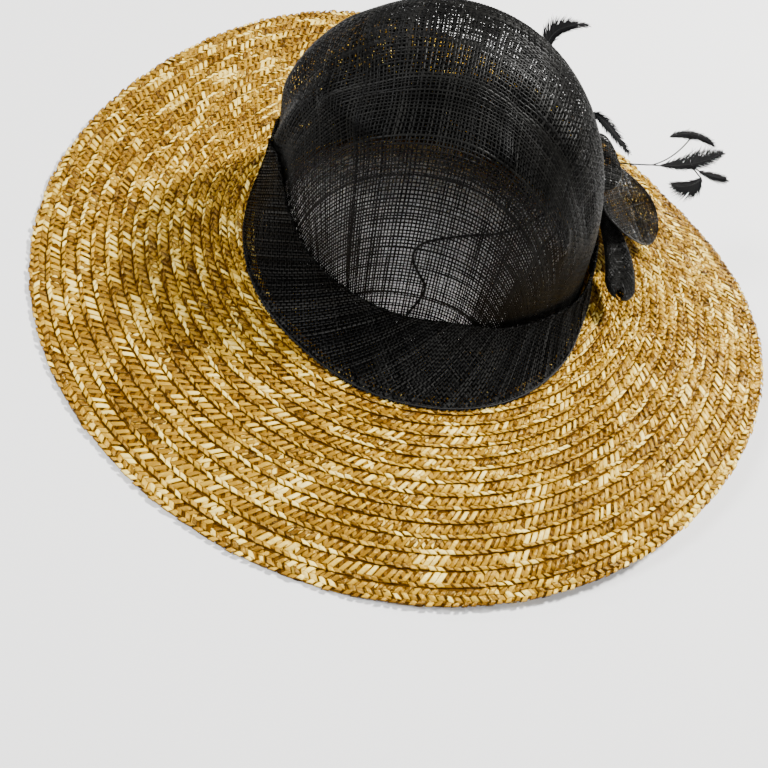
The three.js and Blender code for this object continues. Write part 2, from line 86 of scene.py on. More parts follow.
# from degrees, from up, to degrees, to up, width, height
CROWN_FOLDS = (
    (-140, 0.46, -55, 0.53, 0.05, 0.9),
    (-150, 0.57, -60, 0.66, 0.06, -0.8),
    (-57, 0.52, -28, 0.26, 0.05, 1.0),
    (-42, 0.66, -12, 0.30, 0.07, -0.7),
    (-172, 0.32, 165, 0.42, 0.12, 1.8),
    (-158, 0.20, -146, 0.46, 0.06, 0.8),
    (70, 0.45, 140, 0.52, 0.07, -0.8),
)


# Shapes of the solids


def smooth(v):
    t = np.clip(v, 0, 1)
    return t * t * (3 - 2 * t)


def unit(v):
    return v / np.maximum(np.linalg.norm(v, axis=-1, keepdims=True), 1e-9)


def oval(pair, mean, a):
    return mean * (pair[0] * np.cos(2 * a) + pair[1] * np.sin(2 * a))


def polar(r, a, z):
    return np.stack(np.broadcast_arrays(r * np.cos(a), r * np.sin(a), z), -1)


def all_round(count):
    return np.linspace(0, 2 * np.pi, count, endpoint=False)


def turned(u, v, angle):
    """(u, v) turned by an angle in its own plane."""
    c, s = math.cos(angle), math.sin(angle)
    return u * c - v * s, u * s + v * c


def within(value, high):
    """How far a value is inside the span from 0 to high."""
    return np.minimum(value, high - value)


def brim_ring(a, inward):
    t = smooth((inward / BRIM_WIDTH - 0.6) / 0.4)
    rim, head = oval(RIM_OVAL, BRIM_RADIUS, a), oval(HEAD_OVAL, HEAD_RADIUS, a)
    return BRIM_RADIUS - inward + rim * (1 - t) + head * t


def brim_under(a, inward):
    share = inward / BRIM_WIDTH
    fade = np.clip(1 - share, 0, 1) ** 1.2
    height = WAVE_HEIGHT + BRIM_RISE * share + BRIM_ARCH * share * (1 - share) - REST_DEPTH
    for lobes, cosine, sine in BRIM_WAVES:
        reach = 1 - share * (BRIM_WIDTH / BRIM_RADIUS) if lobes == 1 else fade
        height = height + WAVE_HEIGHT * (cosine * np.cos(lobes * a) + sine * np.sin(lobes * a)) * reach
    return np.maximum(0, height)


def inward_of(a, radius):
    inward = BRIM_RADIUS - radius
    for _ in range(4):
        inward = inward + brim_ring(a, inward) - radius
    return inward


def brim_seat(a, inward):
    return brim_under(a, inward) + BRIM_THICKNESS + ROW_STEP + SEAT_GAP


def fold_offset(a, up):
    total = 0
    for d0, u0, d1, u1, width, height in CROWN_FOLDS:
        start, span = math.radians(d0), math.radians((d1 - d0 + 180) % 360 - 180)
        turn = np.arctan2(np.sin(a - start), np.cos(a - start))
        around = np.cos(np.pi / 2 * up)
        wide, rise = span * around, u1 - u0
        along = np.clip((turn * around * wide + (up - u0) * rise) / (wide**2 + rise**2), 0, 1)
        across = np.hypot(turn * around - along * wide, up - u0 - along * rise)
        total = total + FOLD_HEIGHT * height * np.exp(-((across / width) ** 2))
    return total


def crown_point(a, up, inset=0.0):
    arc = up * np.pi / 2
    foot = brim_seat(a, BRIM_WIDTH)
    rise = np.sin(arc) ** (2 / TOP_CURVE)
    wide = np.maximum(np.cos(arc), 0) ** (2 / SIDE_CURVE)
    top = smooth((up - 0.3) / 0.7)
    fold = fold_offset(a, up) * smooth(up / 0.12) * smooth((1 - up) / 0.15)
    z = foot + (CROWN_HEIGHT - foot) * rise + (fold - inset) * top
    flare = FOOT_FLARE * np.exp(-(z - foot) / FOOT_FLARE_HEIGHT)
    head = HEAD_RADIUS + oval(HEAD_OVAL, HEAD_RADIUS, a)
    r = np.maximum(0, (head + flare + fold * (1 - top) - inset) * wide)
    point = polar(r, a, z)
    point[..., 0] += CROWN_LEAN * rise
    return point


def share_round(table, a):
    at, share = np.array(table, float).T
    at, share = np.concatenate([at - 360, at, at + 360]), np.tile(share, 3)
    turn = (np.degrees(a) - table[0][0]) % 360 + table[0][0]
    i = np.searchsorted(at, turn, side="right") - 1
    span = at[i + 1] - at[i]
    t = (turn - at[i]) / span
    m0 = (share[i + 1] - share[i - 1]) / (at[i + 1] - at[i - 1]) * span
    m1 = (share[i + 2] - share[i]) / (at[i + 2] - at[i]) * span
    return (
        (2 * t**3 - 3 * t**2 + 1) * share[i] + (t**3 - 2 * t**2 + t) * m0
        + (3 * t**2 - 2 * t**3) * share[i + 1] + (t**3 - t**2) * m1
    )


def crown_radius_at(a, height):
    low, high = np.zeros_like(a), np.ones_like(a)
    for _ in range(18):
        middle = (low + high) / 2
        below = crown_point(a, middle)[..., 2] < height
        low, high = np.where(below, middle, low), np.where(below, high, middle)
    p = crown_point(a, low)
    return p[..., 0] * np.cos(a) + p[..., 1] * np.sin(a)


# Hem and fold of the band, worked out once round and read by interpolation
band_angles = np.radians(np.arange(-180, 180.5, 1.0))
band_top_height = share_round(BAND_TOP, band_angles) * CROWN_HEIGHT
band_top_radius = BAND_HUG + BAND_WALL + np.maximum(
    crown_radius_at(band_angles, band_top_height), crown_radius_at(band_angles, band_top_height * 0.8)
)
band_hem_radius = share_round(BAND_HEM, band_angles) * HEAD_RADIUS
band_hem_height = brim_seat(band_angles, inward_of(band_angles, band_hem_radius - BAND_WALL))


def band_ring(table, a):
    return np.interp((a + np.pi) % (2 * np.pi) - np.pi, band_angles, table)


def band_point(a, share, inset):
    top, hem = band_ring(band_top_radius, a), band_ring(band_hem_radius, a)
    radius = top + (hem - top) * (1 - share) ** 1.3 - inset
    low, high = band_ring(band_hem_height, a), band_ring(band_top_height, a)
    return radius, low + (high - low) * share


def clear_radius(a, height):
    low, high = band_ring(band_hem_height, a), band_ring(band_top_height, a)
    share = (height - low) / (high - low)
    crown = crown_radius_at(a, np.minimum(height, CROWN_HEIGHT - 1))
    band = band_point(a, np.clip(share, 0, 1), 0)[0]
    return np.where(share > 1.08, crown, np.maximum(crown, band)) + SEAT_GAP


# Meshes


def add_mesh(name, points, faces, material, uv=None, tone=None, edge=None, shade_smooth=False):
    """An object made of quads; points in millimetres, with what the materials read at each of them."""
    mesh = bpy.data.meshes.new(name)
    points = np.asarray(points, float).reshape(-1, 3)
    mesh.vertices.add(len(points))
    mesh.vertices.foreach_set("co", (points * MM).ravel())
    loops = np.ravel(faces)
    mesh.loops.add(len(loops))
    mesh.loops.foreach_set("vertex_index", loops.astype(np.int32))
    mesh.polygons.add(len(faces))
    mesh.polygons.foreach_set("loop_start", np.arange(0, len(loops), 4, dtype=np.int32))
    for layer_name, values in (("strand", uv), ("facet", edge)):
        if values is not None:
            layer = mesh.uv_layers.new(name=layer_name)
            layer.data.foreach_set("uv", np.asarray(values, float)[loops].ravel())
    if tone is not None:
        data = mesh.attributes.new("tone", "FLOAT", "POINT")
        data.data.foreach_set("value", np.asarray(tone, float))
    mesh.update(calc_edges=True)
    mesh.validate()
    mesh.polygons.foreach_set("use_smooth", np.full(len(mesh.polygons), shade_smooth))
    mesh.materials.append(material)
    piece = bpy.data.objects.new(name, mesh)
    bpy.context.scene.collection.objects.link(piece)
    return piece


def grid_faces(rows, columns):
    """Quads between rows of points."""
    i, j = np.meshgrid(np.arange(rows - 1), np.arange(columns - 1), indexing="ij")
    a = (i * columns + j).ravel()
    return np.stack([a, a + 1, a + columns + 1, a + columns], 1)


def ring_faces(rows, columns, closed=True):
    """Quads between rows of points that each go round; closed also joins the last row to the first."""
    i, j = np.meshgrid(np.arange(rows if closed else rows - 1), np.arange(columns), indexing="ij")
    ahead, beside = (i + 1) % rows, (j + 1) % columns
    corners = [i * columns + j, i * columns + beside, ahead * columns + beside, ahead * columns + j]
    return np.stack(corners, -1).reshape(-1, 4)


def repeated(faces, count, nodes):
    """The same faces for each of count strips with so many nodes."""
    return (faces[None] + (np.arange(count) * nodes)[:, None, None]).reshape(-1, 4)


def tube(points, radius, sides=6, closed=False):
    """Points and faces of a tube along a line; radius is one number or one for each point."""
    points = np.asarray(points, float)
    along = np.roll(points, -1, 0) - np.roll(points, 1, 0) if closed else np.gradient(points, axis=0)
    along = unit(along)
    side = unit(np.cross(along, np.array([0.31, 0.17, 0.93])))
    other = np.cross(along, side)
    turn = all_round(sides)
    radius = np.broadcast_to(np.asarray(radius, float), (len(points),))
    ring = np.cos(turn)[None, :, None] * side[:, None] + np.sin(turn)[None, :, None] * other[:, None]
    mesh = points[:, None] + ring * radius[:, None, None]
    return mesh.reshape(-1, 3), ring_faces(len(points), sides, closed)


class Parts:
    """Points and faces gathered for one piece."""

    def __init__(self):
        self.points, self.faces, self.uv, self.tone, self.edge, self.count = [], [], [], [], [], 0

    def add(self, points, faces, uv=None, tone=0.5, edge=None):
        points = np.asarray(points).reshape(-1, 3)
        self.faces.append(np.asarray(faces) + self.count)
        self.points.append(points)
        self.uv.append(np.zeros((len(points), 2)) if uv is None else uv)
        self.tone.append(np.broadcast_to(tone, (len(points),)))
        if edge is not None:
            self.edge.append(edge)
        self.count += len(points)

    def piece(self, name, material, shade_smooth=False):
        return add_mesh(
            name, np.concatenate(self.points), np.concatenate(self.faces), material,
            np.concatenate(self.uv), np.concatenate(self.tone),
            np.concatenate(self.edge) if self.edge else None, shade_smooth,
        )


# How the strands of a weave vary: spacing, sway along their length, width and twist
WANDER = 0.06
PITCH_SPREAD = 2.2
PITCH_LIMITS = (0.6, 1.5)
SLOW_SWAY, SLOW_LENGTH = 0.6, 17
QUICK_SWAY, QUICK_LENGTH = 0.5, 6.3
WIDTH_SPREAD, WIDTH_RIPPLE = 0.14, 0.08
THICK_SHARE, THICK_WIDTH = 0.1, 1.45
TWIST, TWIST_LENGTH = 0.35, 9
SLOPE_STEP = 0.25


def strand_places(span, step, rng):
    """Places of the strands of one direction, about one step apart."""
    low, high = span
    count = int((high - low) / step) + 2
    steps = step * (1 + PITCH_SPREAD * WANDER * rng.standard_normal(count))
    return low + np.cumsum(np.clip(steps, PITCH_LIMITS[0] * step, PITCH_LIMITS[1] * step))


def end_at_outline(along, value, ok):
    """Moves each strand's node just outside the outline back to it; value is 0 on the outline."""
    for shift in (1, -1):
        near = np.roll(ok, shift, 1)
        near[:, 0 if shift == 1 else -1] = False
        edge = near & ~ok
        neighbour = np.roll(along, shift, 1)[edge]
        inner = np.roll(value, shift, 1)[edge]
        t = inner / np.maximum(inner - value[edge], 1e-9)
        along[edge] = neighbour + (along[edge] - neighbour) * np.clip(t, 0, 1)


def weave(parts, surface, inside, spans, bias, pitch, width, lift, rng, ridge=0.3, dense=None):
    """Plain weave of strands over surface(x, y), cut off where inside(x, y) turns negative.

    A strand is a strip folded along its middle, so that it has some thickness seen from the side.
    parts is one Parts, or a pair for the strands of either direction. The strands' own grid is turned
    by bias against x and y. lift is how far a strand goes up and down at the crossings, ridge is the
    height of its fold, and dense(x, y) is a factor of its width.
    """
    pair = parts if isinstance(parts, tuple) else (parts, parts)
    u_lines, v_lines = (strand_places(span, step, rng) for span, step in zip(spans, pitch))
    for lines, stations, swapped in ((u_lines, v_lines, False), (v_lines, u_lines, True)):
        n, m = len(lines), len(stations)

        def at(line, station):
            return turned(station, line, bias) if swapped else turned(line, station, bias)

        along = np.repeat(stations[None], n, 0)
        phase = rng.uniform(0, 2 * np.pi, (n, 2))
        slow = SLOW_SWAY * np.sin(along / SLOW_LENGTH + phase[:, :1])
        quick = QUICK_SWAY * np.sin(along / QUICK_LENGTH + phase[:, 1:])
        fixed = np.repeat(lines[:, None], m, 1) + WANDER * pitch[0] * (slow + quick)
        value = inside(*at(fixed, along))
        ok = value > 0
        end_at_outline(along, value, ok)

        # points and directions, worked out only for nodes that some face may use
        used = ok | np.roll(ok, 1, 1) | np.roll(ok, -1, 1)
        p = np.zeros((n, m, 3))
        ahead, beside = np.zeros_like(p), np.zeros_like(p)
        f, a = fixed[used], along[used]
        p[used] = surface(*at(f, a))
        ahead[used] = surface(*at(f, a + SLOPE_STEP)) - surface(*at(f, a - SLOPE_STEP))
        beside[used] = surface(*at(f + SLOPE_STEP, a)) - surface(*at(f - SLOPE_STEP, a))
        normal = unit(np.cross(ahead, beside) * (-1 if swapped else 1))
        side = unit(np.cross(normal, ahead))

        # over one strand and under the next
        over = np.where((np.arange(n)[:, None] + np.arange(m)[None]) % 2 == 0, 1.0, -1.0)
        if swapped:
            over = -over
        middle = p + normal * (lift * over)[..., None]

        size = width * rng.lognormal(0, WIDTH_SPREAD, n)
        size = np.where(rng.random(n) < THICK_SHARE, size * THICK_WIDTH, size)
        half = 0.5 * size[:, None] * (1 + WIDTH_RIPPLE * rng.standard_normal((n, m)))
        if dense:
            half = half * dense(*at(fixed, along))
        tilt = TWIST * half * np.sin(phase[:, :1] + along / TWIST_LENGTH)
        height = ridge * np.minimum(1.0, half / (0.5 * width))
        left = middle + side * half[..., None] + normal * (tilt - height / 2)[..., None]
        right = middle - side * half[..., None] - normal * (tilt + height / 2)[..., None]
        top = middle + normal * (height / 2)[..., None]
        grid = np.stack([left, top, right], 2).reshape(-1, 3)

        node = np.arange(n * m).reshape(n, m)
        keep = ok[:, :-1] | ok[:, 1:]
        first, second = 3 * node[:, :-1][keep], 3 * node[:, 1:][keep]
        faces = np.concatenate([
            np.stack([first + k, first + k + 1, second + k + 1, second + k], 1) for k in (0, 1)
        ])
        uv = np.stack([np.tile([0.0, 0.5, 1.0], n * m), np.repeat(along.ravel(), 3)], 1)
        tone = np.repeat(np.repeat(rng.random(n), m), 3)
        kept, inverse = np.unique(faces, return_inverse=True)
        pair[int(swapped)].add(grid[kept], inverse.reshape(-1, 4), uv[kept], tone[kept])


# Materials


class Graph:
    """A new material and its node tree."""

    def __init__(self, name):
        self.material = bpy.data.materials.new(name)
        self.material.use_nodes = True
        self.nodes = self.material.node_tree.nodes
        self.links = self.material.node_tree.links
        self.shader = self.nodes["Principled BSDF"]

    def put(self, value, socket):
        """Links another node's output to a socket, or sets it to a number or colour."""
        if isinstance(value, bpy.types.NodeSocket):
            self.links.new(value, socket)
        else:
            socket.default_value = value

    def node(self, kind, **inputs):
        node = self.nodes.new("ShaderNode" + kind)
        for name, value in inputs.items():
            self.put(value, node.inputs[name])
        return node

    def tone(self):
        node = self.node("Attribute")
        node.attribute_name = "tone"
        return node.outputs["Fac"]

    def layer(self, name):
        node = self.node("UVMap")
        node.uv_map = name
        return node.outputs[0]

    def place(self):
        return self.node("TexCoord").outputs["Object"]

    def fibres(self, stretch, scale):
        """Noise drawn out along the strands."""
        stretched = self.node("Mapping", Vector=self.layer("strand"), Scale=stretch).outputs[0]
        return self.noise(stretched, scale, 3.0)

    def noise(self, place, scale, detail):
        return self.node("TexNoise", Vector=place, Scale=scale, Detail=detail).outputs[0]

    def bump(self, height, strength, distance):
        return self.node("Bump", Height=height, Strength=strength, Distance=distance)

    def math(self, operation, first, second=0.0):
        node = self.node("Math")
        node.operation = operation
        self.put(first, node.inputs[0])
        self.put(second, node.inputs[1])
        return node.outputs[0]

    def about_zero(self, noise, amount):
        return self.math("MULTIPLY", self.math("SUBTRACT", noise, 0.5), amount)

    def scaled(self, value, factor, shift):
        return self.math("ADD", self.math("MULTIPLY", value, factor), shift)

    def ramp(self, value, stops):
        ramp = self.node("ValToRGB")
        while len(ramp.color_ramp.elements) < len(stops):
            ramp.color_ramp.elements.new(0.5)
        for element, (place, colour) in zip(ramp.color_ramp.elements, stops):
            element.position = place
            element.color = (*colour, 1)
        self.links.new(value, ramp.inputs[0])
        return ramp.outputs[0]

    def surface(self, **inputs):
        """Values or links for inputs of the shader, named with _ for a space."""
        for name, value in inputs.items():
            self.put(value, self.shader.inputs[name.replace("_", " ")])
        return self.material


STRAW_STOPS = (
    (0.0, (0.035, 0.012, 0.0006)), (0.25, (0.13, 0.052, 0.0015)), (0.5, (0.31, 0.162, 0.008)),
    (0.75, (0.54, 0.335, 0.03)), (1.0, (1.0, 0.78, 0.22)),
)
# Painted shade: dark browns for the body that shows in the gaps between splints
GAP_SHADE_STOPS = ((0.3, (0.06, 0.022, 0.001)), (0.7, (0.14, 0.056, 0.003)))
STRAW_SHEEN = (1.0, 0.71, 0.16, 1)
# Painted shade at the edges of a splint: what they lose in tone, and how steeply that sets in at its sides
# and ends
EDGE_SHADE, SIDE_POWER, END_POWER = 0.75, 6.0, 8.0
# Times EDGE_SHADE it is about 1, so that the edges, in their painted shade, have no gloss
EDGE_DULLING = 1.33


def straw_material(name, shine):
    """Wheat straw: tone per splint, fine lines along it, glossy skin but for its edges, which have painted
    shade and no gloss.
    """
    graph = Graph(name)
    place = graph.place()
    fibres = graph.fibres((7.0, 0.9, 1.0), 1.6)
    blotches = graph.noise(place, 160.0, 2.0)
    crumples = graph.noise(place, 620.0, 1.0)
    across_along = graph.node("SeparateXYZ", Vector=graph.layer("facet")).outputs
    # painted shade towards the sides and ends of each splint, taken off its tone and its gloss
    side = graph.math("POWER", graph.math("ABSOLUTE", across_along[0]), SIDE_POWER)
    end = graph.math("POWER", graph.math("ABSOLUTE", across_along[1]), END_POWER)
    painted_edge_shade = graph.math("MULTIPLY", graph.math("MAXIMUM", side, end), -EDGE_SHADE)
    mixed = graph.math("ADD", graph.tone(), graph.about_zero(fibres, 0.35))
    mixed = graph.math("ADD", mixed, graph.about_zero(blotches, 0.25))
    mixed = graph.math("ADD", mixed, painted_edge_shade)
    folds = graph.bump(crumples, 0.55, 0.0007)
    lines = graph.bump(fibres, 0.4, 0.0003)
    graph.put(folds.outputs[0], lines.inputs["Normal"])
    return graph.surface(
        Base_Color=graph.ramp(mixed, STRAW_STOPS), Roughness=graph.scaled(fibres, 0.15, 0.13),
        Specular_IOR_Level=graph.scaled(painted_edge_shade, EDGE_DULLING * shine, shine), Specular_Tint=STRAW_SHEEN,
        Normal=lines.outputs[0],
    )


def gap_shade_material():
    """Painted shade: the dark brown that shows in the gaps between splints."""
    graph = Graph("straw_gap_shade")
    noise = graph.noise(graph.place(), 300.0, 2.0)
    return graph.surface(Base_Color=graph.ramp(noise, GAP_SHADE_STOPS), Roughness=0.9, Specular_IOR_Level=0.05)


def fibre_material(name, dark, light, roughness, gloss=0.22):
    """Dyed plant fibre: a rounded glossy strand with paler and darker ones."""
    graph = Graph(name)
    noise = graph.fibres((2.0, 0.35, 1.0), 2.0)
    blend = graph.math("ADD", graph.math("MULTIPLY", graph.tone(), 0.5), graph.math("MULTIPLY", noise, 0.5))
    return graph.surface(
        Base_Color=graph.ramp(blend, ((0.25, dark), (0.8, light))),
        Roughness=graph.scaled(noise, 0.2, roughness - 0.1), Specular_IOR_Level=gloss,
    )


straw = straw_material("wheat_straw", 0.66)
# A dull copy of the straw, for painted shade on the crossing splints that lie under the next row
straw_shaded = straw_material("wheat_straw_between", 0.12)
straw_gap_shade = gap_shade_material()
sinamay = fibre_material("sinamay_fibre", (0.0008, 0.0008, 0.0007), (0.0085, 0.0083, 0.0074), 0.42, 0.07)
petal_fibre = fibre_material("petal_fibre", (0.002, 0.002, 0.0018), (0.02, 0.0195, 0.0175), 0.36, 0.2)
band_dark = fibre_material("band_fibre_dark", (0.0003, 0.0003, 0.0003), (0.0012, 0.0012, 0.001), 0.5, 0.015)
# The band's weft is its black fibre painted paler, as painted highlights along those strands
band_highlit = fibre_material("band_fibre_highlit", (0.001, 0.001, 0.0009), (0.02, 0.0195, 0.018), 0.42, 0.08)
binding = fibre_material("sinamay_binding", (0.0012, 0.0012, 0.001), (0.005, 0.005, 0.0045), 0.45)
barb = fibre_material("feather_barb", (0.0008, 0.0008, 0.0009), (0.004, 0.0042, 0.0046), 0.6, 0.04)
quill = fibre_material("feather_quill", (0.001, 0.001, 0.001), (0.003, 0.003, 0.0033), 0.5, 0.08)
elastic = fibre_material("elastic_cord", (0.0008, 0.0008, 0.0008), (0.002, 0.002, 0.002), 0.6, 0.1)

# Camera, as fitted to the photo, and the cord that crosses the head opening

CAMERA_PLACE = (0.0, -0.36282, 0.35060)
CAMERA_RIGHT = (0.923748, 0.295484, 0.243676)
CAMERA_UP = (-0.382621, 0.740254, 0.552834)
CAMERA_BACK = (-0.017028, -0.603915, 0.796866)


def placed(right, upward, back, place):
    """The matrix of a camera or lamp from its three axes and its place."""
    columns = (right, upward, back, place)
    return Matrix([[column[row] for column in columns] for row in range(3)] + [(0, 0, 0, 1)])


camera_data = bpy.data.cameras.new("camera")
camera_data.lens, camera_data.sensor_width = 37.5, 36.0
camera = bpy.data.objects.new("camera", camera_data)
bpy.context.scene.collection.objects.link(camera)
camera.matrix_world = placed(CAMERA_RIGHT, CAMERA_UP, CAMERA_BACK, CAMERA_PLACE)
bpy.context.scene.camera = camera

# x, y and lift above the table, as shares of HEAD_RADIUS
CORD_ROUTE = (
    (0.056, -0.906, 0.244), (0.052, -0.787, 0.134), (0.052, -0.64, 0.029), (0.061, -0.472, 0),
    (0.097, -0.315, 0), (0.097, -0.191, 0), (0.022, -0.096, 0), (-0.049, 0, 0), (-0.063, 0.107, 0),
    (-0.018, 0.213, 0), (0.079, 0.315, 0), (0.27, 0.472, 0), (0.472, 0.584, 0.033),
    (0.618, 0.652, 0.146), (0.718, 0.71, 0.298),
)


def catmull(points, steps):
    """Centripetal curve through the points."""
    points = np.asarray(points, float)
    points = np.vstack([2 * points[0] - points[1], points, 2 * points[-1] - points[-2]])
    line = []
    for k in range(1, len(points) - 2):
        p0, p1, p2, p3 = points[k - 1 : k + 3]
        d0, d1, d2 = (np.linalg.norm(b - a) ** 0.5 for a, b in ((p0, p1), (p1, p2), (p2, p3)))
        t1 = ((p1 - p0) / d0 - (p2 - p0) / (d0 + d1) + (p2 - p1) / d1) * d1
        t2 = ((p2 - p1) / d1 - (p3 - p1) / (d1 + d2) + (p3 - p2) / d2) * d1
        t = np.linspace(0, 1, steps, endpoint=False)[:, None]
        square, cube = -3 * p1 + 3 * p2 - 2 * t1 - t2, 2 * p1 - 2 * p2 + t1 + t2
        line.append(p1 + t1 * t + square * t**2 + cube * t**3)
    line.append(points[-2][None])
    return np.concatenate(line)


CORD_LOW = CORD_DIAMETER / 2 + CORD_REST
cord_points = [(x * HEAD_RADIUS, y * HEAD_RADIUS, CORD_LOW + z * HEAD_RADIUS) for x, y, z in CORD_ROUTE]
cord_line = catmull(cord_points, 8)
cord_curve = bpy.data.curves.new("inner_cord_line", "CURVE")
cord_curve.dimensions = "3D"
spline = cord_curve.splines.new("POLY")
spline.points.add(len(cord_line) - 1)
for point, place in zip(spline.points, cord_line):
    point.co = (*(place * MM), 1)
cord_curve.bevel_depth = CORD_DIAMETER / 2 * MM
cord_curve.bevel_resolution = 2
cord_curve.use_fill_caps = True
cord_curve.materials.append(elastic)
cord_piece = bpy.data.objects.new("elastic_cord_line", cord_curve)
bpy.context.scene.collection.objects.link(cord_piece)
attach(cord_piece, "root")
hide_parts("inner_cord")


def finish_piece(piece, slot, *nodes):
    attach(piece, "root")
    if nodes:
        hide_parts(*nodes)


# Straw brim

row_starts = [0.0]
while row_starts[-1] < BRIM_WIDTH + LIP_WIDTH:
    width = ROW_PITCH * max(1 - ROW_TAPER * (len(row_starts) - 1), NARROWEST_ROW)
    row_starts.append(min(row_starts[-1] + width, BRIM_WIDTH + LIP_WIDTH))
ROWS = len(row_starts) - 1
row_widths = np.diff(row_starts)
SPLINT_PITCH = 4.3
# The rows slope by this share of the solids' step
ROW_SLOPE = 0.6
# Heights against the solids, for the splints of the top and the underside and for the body inside, dark as
# painted shade
TOP_SINK = 0.25
UNDER_LIFT = 0.45
BODY_SINK = 0.45
BODY_LIFT = 0.62
BODY_EDGE = 0.35
BODY_STEPS = 300
# No splint dips below the floor
LOWEST = 0.02


def row_top(a, row, w):
    """Point on the top of a row, w millimetres in from its outer edge."""
    inward = row_starts[row] + w
    flat = row == ROWS - 1
    slope = 0.0 if flat else np.clip(w / row_widths[row], -0.2, 1.4) * ROW_SLOPE
    z = brim_under(a, inward) + BRIM_THICKNESS + ROW_STEP * (1 - slope) - TOP_SINK
    return polar(brim_ring(a, inward), a, z)


def row_under(a, row, w):
    inward = row_starts[row] + w
    return polar(brim_ring(a, inward), a, brim_under(a, inward) + UNDER_LIFT)


# Facets of the plait. low and high are shares of the row's width; slant, place and wide are shares of the
# splints' spacing; crown, tuck, drop and rise are millimetres; shift is added to the tone: painted shade on
# the crossing splints under the next row, painted light on the outer splints at the row's edge
Facet = namedtuple("Facet", "low high slant place wide crown tuck drop rise shift")
RIM_FACETS = (
    Facet(0.10, 0.97, -0.90, 0.30, 0.86, 0.30, 0.20, 0.0, -0.30, -0.12),
    Facet(0.48, 0.95, 0.75, 0.62, 0.84, 0.66, 0.40, 0.0, 0.02, 0.0),
    Facet(0.17, 0.60, -0.55, 0.45, 0.80, 0.66, 0.36, 0.0, 0.02, 0.0),
    Facet(-0.04, 0.25, 0.40, 0.30, 0.80, 0.45, 0.20, 1.1, 0.0, 0.05),
)
ROW_FACETS = (
    Facet(0.10, 0.99, -0.90, 0.30, 0.86, 0.30, 0.20, 0.0, -0.22, -0.08),
    Facet(0.19, 0.93, 0.95, 0.70, 0.76, 0.72, 0.42, 0.0, 0.02, 0.0),
    Facet(0.00, 0.28, -0.45, 0.25, 0.94, 0.66, 0.36, 0.95, 0.0, 0.06),
)
UNDER_FACETS = (
    Facet(0.0, 0.72, 0.75, 0.4, 0.96, 0.3, 0.25, 0.0, 0.0, 0.0),
    Facet(0.6, 1.0, -0.4, 0.75, 0.9, 0.22, 0.25, 0.0, 0.0, 0.0),
)
# How much single splints vary, in the same measures
INWARD_SPREAD, PLACE_SPREAD, WIDE_SPREAD = 0.035, 0.09, 0.08
SIDE_TILT, END_TILT = 0.30, 0.20


def facets(parts, row, facet, rng, tones, surface, sign):
    """One facet of the plait at every splint of a row; sign is -1 on the underside."""
    width = row_widths[row]
    along = np.array([0.0, 0.12, 0.5, 0.88, 1.0])
    across = np.array([-0.5, 0.0, 0.5])
    rise = np.array([-facet.tuck, 0.0, 0.1, 0.0, -facet.tuck])
    if facet.drop:
        # a wall down from the outer end
        along, rise = np.concatenate([[0.0], along]), np.concatenate([[-facet.drop], rise])
        rise[1] = -0.05
    p, q = np.meshgrid(along, across, indexing="ij")
    lift = rise[:, None] + facet.crown * (1 - (2 * q) ** 2) + facet.rise
    n = len(tones)
    shape = (n,) + p.shape
    jitter = rng.standard_normal((n, 5))[:, :, None, None]
    w = width * (facet.low + (facet.high - facet.low) * p[None] + INWARD_SPREAD * jitter[:, 0])
    wide = facet.wide * (1 + WIDE_SPREAD * jitter[:, 4])
    t = facet.place + facet.slant * (p[None] - 0.5) + q[None] * wide + PLACE_SPREAD * jitter[:, 1]
    phase = (row * 0.37) % 1
    a = (np.arange(n)[:, None, None] + t + phase) * 2 * np.pi / n
    base = surface(np.broadcast_to(a, shape), row, np.broadcast_to(w, shape))
    tilt = SIDE_TILT * jitter[:, 2] * 2 * q[None] + END_TILT * jitter[:, 3] * (2 * p[None] - 1)
    base[..., 2] += sign * (lift[None] + tilt)
    base[..., 2] = np.maximum(base[..., 2], LOWEST)
    rows, columns = p.shape
    one = grid_faces(rows, columns)
    if sign < 0:
        one = one[:, ::-1]
    faces = repeated(one, n, rows * columns)
    uv = np.stack([
        np.broadcast_to(q[None] * facet.wide * SPLINT_PITCH + jitter[:, 0] * 9, shape),
        np.broadcast_to(p[None] * (facet.high - facet.low) * width, shape),
    ], -1).reshape(-1, 2)
    # the edge layer runs from -1 to 1 both ways, with painted shade at its ends; the top of a wall gets a
    # little less of it
    end = 2 * p - 1
    if facet.drop:
        end[1] = -0.8
    edge = np.stack([np.broadcast_to(2 * q, shape), np.broadcast_to(end, shape)], -1).reshape(-1, 2)
    shade = np.repeat(np.clip(tones + facet.shift, 0.02, 1), rows * columns)
    parts.add(base, faces, uv, shade, edge)


GOLDEN_TONE, GOLDEN_SPREAD = 0.47, 0.12
PALE_TONE, DARK_TONE, RUN_SPREAD = 0.9, 0.26, 0.07
PALE_SHARE = 0.62
# Factor of the innermost row's tones, as it lies in the band's shade
SHADED_ROW = 0.12


def row_tones(count, rng):
    """Tone of each splint: golden, with short runs of pale or darker ones."""
    tones = GOLDEN_TONE + GOLDEN_SPREAD * rng.standard_normal(count)
    place = 0
    while place < count:
        place += int(rng.integers(2, 9))
        run = int(rng.integers(1, 5))
        level = PALE_TONE if rng.random() < PALE_SHARE else DARK_TONE
        length = len(tones[place : place + run])
        tones[place : place + run] = level + RUN_SPREAD * rng.standard_normal(length)
        place += run
    return np.clip(tones, 0.05, 1.0)


